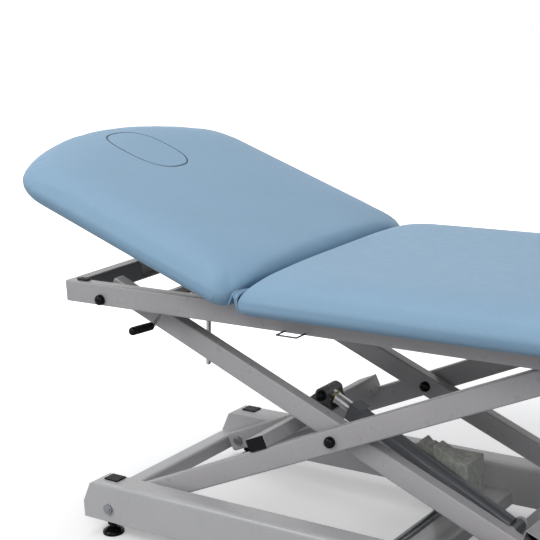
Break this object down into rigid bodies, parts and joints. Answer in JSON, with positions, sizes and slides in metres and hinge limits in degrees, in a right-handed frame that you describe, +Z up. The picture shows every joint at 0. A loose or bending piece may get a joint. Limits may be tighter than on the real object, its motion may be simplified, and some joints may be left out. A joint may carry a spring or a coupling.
{
  "type": "treatment_table",
  "caption": "Two-section treatment table with blue vinyl cushions, raised head section with lift-out face plug, and a grey tubular scissor lift on a long base",
  "frame": {"origin": "centre of the footprint of the whole table, on the floor", "axes": "X along the table from the head end (-X) to the foot end (+X), Y across it with the lever side at -Y, Z up"},
  "size_m": [1.8956, 0.752, 0.9221],
  "materials": {
    "frame_paint": "satin powder coat",
    "base_paint": "satin powder coat",
    "dark_paint": "satin",
    "cast_grey": "painted casting",
    "vinyl": "grained vinyl",
    "plywood": "plain",
    "chrome": "polished",
    "zinc_yellow": "passivated",
    "steel": "zinc plated",
    "black_plastic": "satin",
    "black_rubber": "matt"
  },
  "bodies": {
    "base": {"base_beam_near": "base_paint", "base_beam_far": "base_paint", "base_cross_head": "base_paint", "base_cross_mid": "base_paint", "base_cross_foot": "base_paint", "lower_guides": "steel", "base_pads": "black_rubber", "base_pivot_bolts": "steel", "levelling_feet": "black_plastic", "pump_unit": "cast_grey"},
    "outer_arms": {"outer_arm_near": "frame_paint", "outer_arm_far": "frame_paint", "outer_cross_tube": "frame_paint", "cross_tube_caps": "black_plastic", "ram_bracket": "frame_paint", "middle_bolts": "steel", "middle_caps": "black_plastic"},
    "inner_arms": {"inner_arm_near": "frame_paint", "inner_arm_far": "frame_paint", "inner_cross_tube": "frame_paint", "roller_stubs": "steel"},
    "top_frame": {"rail_near": "frame_paint", "rail_far": "frame_paint", "head_crossbar": "frame_paint", "crossbar_plate": "dark_paint", "mid_crossbar": "frame_paint", "guide_bar_a": "frame_paint", "guide_bar_b": "frame_paint", "foot_crossbar": "frame_paint", "rail_end_caps": "black_plastic", "upper_guide_near": "steel", "upper_guide_far": "steel", "back_buffers": "black_rubber", "seat_strips": "black_rubber", "seat_board": "plywood", "seat_pad": "vinyl", "wire_loop": "chrome", "top_pivot_bolts": "steel", "top_pivot_caps": "black_plastic", "frame_lugs": "steel", "lock_bar": "frame_paint", "lever_bracket": "steel", "hinge_gusset": "vinyl"},
    "head_section": {"back_board": "plywood", "back_frame": "frame_paint", "back_pad": "vinyl", "hinge_pins": "steel"},
    "plug": {"face_plug": "vinyl"},
    "lock_rod": {"lock_rod": "chrome"},
    "lock_housing": {"lock_housing": "dark_paint"},
    "lever": {"release_lever": "chrome", "lever_grip": "black_plastic"},
    "pedal": {"pump_pedal": "steel", "pedal_pad": "black_rubber"},
    "upper_rollers": {"upper_rollers": "black_plastic"},
    "lower_rollers": {"lower_rollers": "black_plastic"},
    "ram": {"cylinder_rod": "chrome", "rod_collar": "zinc_yellow"},
    "cylinder": {"cylinder_body": "dark_paint"}
  },
  "joints": [
    {"name": "lift", "type": "hinge", "parent": "base", "child": "outer_arms", "pos_m": [-0.6884, 0, 0.07624], "axis": [0, -1, 0], "range_deg": [-5.5, 12]},
    {"name": "inner_arm_pivot", "type": "hinge", "parent": "outer_arms", "child": "inner_arms", "pos_m": [-0.09559, 0, 0.32787], "axis": [0, -1, 0], "range_deg": [-24.1, 11.1]},
    {"name": "frame_pivot", "type": "hinge", "parent": "inner_arms", "child": "top_frame", "pos_m": [-0.6884, 0, 0.5795], "axis": [0, -1, 0], "range_deg": [-5.6, 12.1]},
    {"name": "upper_roller_spin", "type": "hinge", "parent": "outer_arms", "child": "upper_rollers", "pos_m": [0.49721, 0, 0.5795], "axis": [0, 1, 0], "continuous": true},
    {"name": "lower_roller_spin", "type": "hinge", "parent": "inner_arms", "child": "lower_rollers", "pos_m": [0.49721, 0, 0.07624], "axis": [0, 1, 0], "continuous": true},
    {"name": "ram_swing", "type": "hinge", "parent": "outer_arms", "child": "ram", "pos_m": [-0.25311, 0, 0.343], "axis": [0, -1, 0], "range_deg": [-17.15, 7.97]},
    {"name": "ram_stroke", "type": "slide", "parent": "ram", "child": "cylinder", "axis": [0.8894, 0, -0.4571], "range_m": [-0.04364, 0.09462]},
    {"name": "head_tilt", "type": "hinge", "parent": "top_frame", "child": "head_section", "pos_m": [-0.24172, 0, 0.645], "axis": [0, 1, 0], "range_deg": [-20.39, 17.11]},
    {"name": "lock_swing", "type": "hinge", "parent": "head_section", "child": "lock_rod", "pos_m": [-0.5751, 0, 0.71], "axis": [0, 1, 0], "range_deg": [-14.48, 17.22]},
    {"name": "lock_slide", "type": "slide", "parent": "lock_rod", "child": "lock_housing", "axis": [-0.0827, 0, -0.9966], "range_m": [-0.12057, 0.10126]},
    {"name": "plug_lift", "type": "slide", "parent": "head_section", "child": "plug", "axis": [0.3484, 0, 0.9373], "range_m": [0, 0.08]},
    {"name": "release_lever_turn", "type": "hinge", "parent": "top_frame", "child": "lever", "pos_m": [-0.5341, -0.223, 0.574], "axis": [1, 0, 0], "range_deg": [0, 6], "stiffness_Nm_per_rad": 8, "springref_deg": -20.05},
    {"name": "pedal_turn", "type": "hinge", "parent": "base", "child": "pedal", "pos_m": [0.0389, -0.315, 0.115], "axis": [0, -1, 0], "range_deg": [0, 14], "stiffness_Nm_per_rad": 30, "springref_deg": -20.05}
  ],
  "couplings": [
    {"joint": "inner_arm_pivot", "follows": "lift", "ratio": -2},
    {"joint": "frame_pivot", "follows": "lift", "ratio": 1},
    {"joint": "ram_swing", "follows": "lift", "ratio": -1.4124},
    {"joint": "ram_stroke", "follows": "lift", "m_per_rad": 0.4494},
    {"joint": "lock_swing", "follows": "head_tilt", "ratio": -0.8345},
    {"joint": "lock_slide", "follows": "head_tilt", "m_per_rad": 0.3374}
  ]
}
